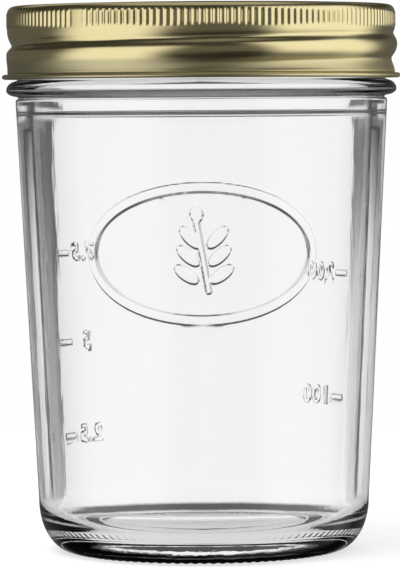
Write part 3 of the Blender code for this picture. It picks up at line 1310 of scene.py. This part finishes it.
@dataclass
class Studio:
    """White room with soft boxes, dark flags between them, a pale floor and the camera.

    The pairs of angles say where a light of the room starts and where it is full, in degrees aside
    of the direction behind the jar, or in degrees up. A lean is the degrees that an edge shifts for
    each degree up. What ends in light is a grey of the room as the glass sees it, from 0 to 1.
    """

    eye_distance: float = 825 * MM
    eye_height: float = 96.8 * MM
    eye_aside: float = -0.55 * MM
    pitch: float = 2.7535
    roll: float = -0.38
    lens: float = 244.0
    near_clip: float = 10 * MM
    floor_radius: float = 0.3
    floor_grey: float = 0.5
    floor_glow: float = 0.62
    lamp_place: Place = (-0.35, -0.25, 0.9)
    lamp_aim: Place = (0.0, 0.0, 0.05)
    lamp_size: float = 0.6
    lamp_energy: float = 4.0
    dark: Colour = (0.015, 0.015, 0.014)
    dim: Colour = (0.1, 0.1, 0.1)
    ceiling: Colour = (0.03, 0.03, 0.028)
    zenith: Colour = (0.4, 0.4, 0.39)
    dim_span: Place = (-24, 14, 8)
    ceiling_edge: Point = (0, 20)
    zenith_edge: Point = (50, 68)
    room: Colour = (0.8, 0.8, 0.8)
    right_edge: Point = (-10, 10)
    flag_light: float = 0.08
    panes_span: Place = (-8, -2.3, 2.8)
    near_pane: Place = (14, 25, 3)
    near_left_light: float = 0.3
    near_right_light: float = 0.8
    far_pane: Place = (26, 38, 3)
    far_light: float = 0.85
    side_edge: Point = (40, 65)
    side_light: float = 0.35
    table_edge: Point = (-8.8, -6.8)
    table_aside: Point = (10, 14)
    table_lean: float = -0.35
    table_light: float = 0.75
    above_edge: Point = (0.8, 2.2)
    above_end: Point = (5, 12)
    above_aside: Point = (26, 32)
    above_light: float = 0.92
    behind_aside: Point = (10.3, 11.7)
    behind_low: Point = (-21, -17)
    behind_high: Point = (6, 12)
    behind_lean: float = 0.4
    behind_shift: float = 1.5
    behind_light: float = 1.0
    boxes: tuple[SoftBox, ...] = (
        SoftBox((-85, 26), (-20, 24), (-42, 24), (20, 10), (0.97, 0.96, 0.95), 0.06, -0.35),
        SoftBox((40, 22), (120, 26), (-29, 30), (36, 12), (1.0, 1.0, 1.0), 0.18, 0.25),
        SoftBox((-172, 12), (-145, 12), (25, 10), (58, 10), (0.45, 0.44, 0.42), 0.0, 0.0),
        SoftBox((145, 12), (172, 12), (25, 10), (58, 10), (0.14, 0.14, 0.14), 0.0, 0.0),
    )

    def camera(self) -> bpy.types.Object:
        """Set up a camera at the angle of the photograph.

        Returns:
            The camera.
        """
        data = bpy.data.cameras.new("camera")
        data.lens = self.lens
        data.clip_start = self.near_clip
        eye = bpy.data.objects.new("camera", data)
        eye.location = (self.eye_aside, -self.eye_distance, self.eye_height)
        tilt = Euler((math.radians(90 - self.pitch), 0, 0)).to_matrix()
        eye.rotation_euler = (tilt @ Matrix.Rotation(math.radians(self.roll), 3, "Z")).to_euler()
        bpy.context.scene.collection.objects.link(eye)
        bpy.context.scene.camera = eye
        return eye

    def floor(self) -> bpy.types.Object:
        """Lay a pale round table top.

        Returns:
            The table top.
        """
        deselect_all()
        bpy.ops.mesh.primitive_circle_add(vertices=128, radius=self.floor_radius, fill_type="NGON")
        floor = bpy.context.object
        floor.name = "floor"
        material, graph = new_surface("floor_paper")
        paper = graph.node("ShaderNodeBsdfDiffuse", values={"Color": (*[self.floor_grey] * 3, 1)})
        strength = self.rays(graph)[Ray.CAMERA] * self.floor_glow
        glow = graph.node("ShaderNodeEmission", values={"Strength": strength})
        both = graph.node("ShaderNodeAddShader", values={0: paper.outputs[0], 1: glow.outputs[0]})
        graph.node("ShaderNodeOutputMaterial", values={"Surface": both.outputs[0]})
        floor.data.materials.append(material)
        floor.visible_glossy = False
        floor.visible_transmission = False
        return floor

    def rays(self, graph: Graph) -> dict[Ray, Signal]:
        """Tell the kinds of ray apart.

        Args:
            graph: The graph that the masks are for.

        Returns:
            A mask for each kind, where a ray through glass doesn't count as glossy too.
        """
        path = graph.node("ShaderNodeLightPath")
        found = {ray: graph.signal(path.outputs[ray.value]) for ray in Ray}
        found[Ray.GLOSSY] = found[Ray.GLOSSY] * (1 - found[Ray.GLASS])
        return found

    def metal_light(self, graph: Graph, azimuth: Signal, elevation: Signal) -> bpy.types.NodeSocket:
        """Light the metal with soft boxes in a dark room.

        Args:
            graph: The graph of the world.
            azimuth: Direction round the jar, from the camera side.
            elevation: Direction up.

        Returns:
            The colour that the metal reflects.
        """
        light = graph.mixed(elevation.rise(*self.ceiling_edge), self.dark, self.ceiling)
        light = graph.mixed(elevation.rise(*self.zenith_edge), light, self.zenith)
        light = graph.mixed(elevation.window(*self.dim_span), light, self.dim)
        for box in self.boxes:
            light = graph.mixed(box.light(azimuth, elevation), light, box.colour)
        return light

    def glass_light(self, azimuth: Signal, elevation: Signal) -> Signal:
        """Light the glass: white behind the jar, over the table's edge and below it, flags elsewhere.

        Args:
            azimuth: Direction round the jar, from the camera side.
            elevation: Direction up.

        Returns:
            How bright the room is through the glass.
        """
        aside = 180 - abs(azimuth)
        is_right = azimuth.rise(*self.right_edge)
        near = self.near_left_light + (self.near_right_light - self.near_left_light) * is_right
        panes = near * aside.window(*self.near_pane) + self.far_light * aside.window(*self.far_pane)
        grey = self.flag_light + panes * elevation.window(*self.panes_span)
        grey = grey + self.side_light * aside.rise(*self.side_edge)

        table = (aside + self.table_lean * elevation).rise(*self.table_aside)
        table = table * (1 - elevation.rise(*self.table_edge))
        above = elevation.rise(*self.above_edge) * (1 - elevation.rise(*self.above_end))
        above = above * (1 - aside.rise(*self.above_aside))
        edge = aside + self.behind_lean * elevation - self.behind_shift * is_right
        behind = 1 - edge.rise(*self.behind_aside)
        behind = behind * (elevation.rise(*self.behind_low) - elevation.rise(*self.behind_high))
        grey = grey.toward(self.table_light, table).toward(self.above_light, above)
        return grey.toward(self.behind_light, behind)

    def world(self) -> None:
        """Show white to the camera, soft boxes to the metal and a room with flags through the glass."""
        world = bpy.data.worlds.new("studio")
        world.use_nodes = True
        bpy.context.scene.world = world
        graph = Graph(world.node_tree)
        rays = self.rays(graph)
        right, back, up = graph.coordinates("Generated")
        azimuth = right.angle_over(0 - back)
        elevation = up.angle_over((right * right + back * back) ** 0.5)

        grey = self.glass_light(azimuth, elevation)
        glass = graph.node("ShaderNodeCombineColor", values={0: grey, 1: grey, 2: grey}).outputs[0]
        metal = self.metal_light(graph, azimuth, elevation)
        colour = graph.mixed(rays[Ray.GLOSSY], self.room, metal)
        colour = graph.mixed(rays[Ray.GLASS], colour, glass)
        colour = graph.mixed(rays[Ray.CAMERA], colour, (1.0, 1.0, 1.0))
        sky = graph.node("ShaderNodeBackground", values={"Color": colour})
        graph.node("ShaderNodeOutputWorld", values={"Surface": sky.outputs[0]})

    def lamp(self) -> bpy.types.Object:
        """Hang a broad soft lamp above, which gives the floor its shadow.

        Returns:
            The lamp.
        """
        data = bpy.data.lights.new("key", "AREA")
        data.shape = "SQUARE"
        data.size = self.lamp_size
        data.energy = self.lamp_energy
        lamp = bpy.data.objects.new("key", data)
        lamp.location = self.lamp_place
        way = Vector(self.lamp_aim) - lamp.location
        lamp.rotation_euler = way.to_track_quat("-Z", "Y").to_euler()
        lamp.visible_glossy = False
        lamp.visible_transmission = False
        bpy.context.scene.collection.objects.link(lamp)
        return lamp

    def build(self) -> None:
        """Set up the camera, the floor, the light and the plain view transform."""
        self.camera()
        self.floor()
        self.world()
        self.lamp()
        bpy.context.scene.view_settings.view_transform = "Standard"


def main() -> None:
    """Build the studio and the four pieces of the jar in order."""
    logging.basicConfig(level=logging.INFO, format="%(name)s: %(message)s")
    Studio().build()
    for maker in (GlassJar(), SealingRing(), LidDisc(), ScrewBand()):
        piece = maker.build()


if __name__ == "__main__":
    main()
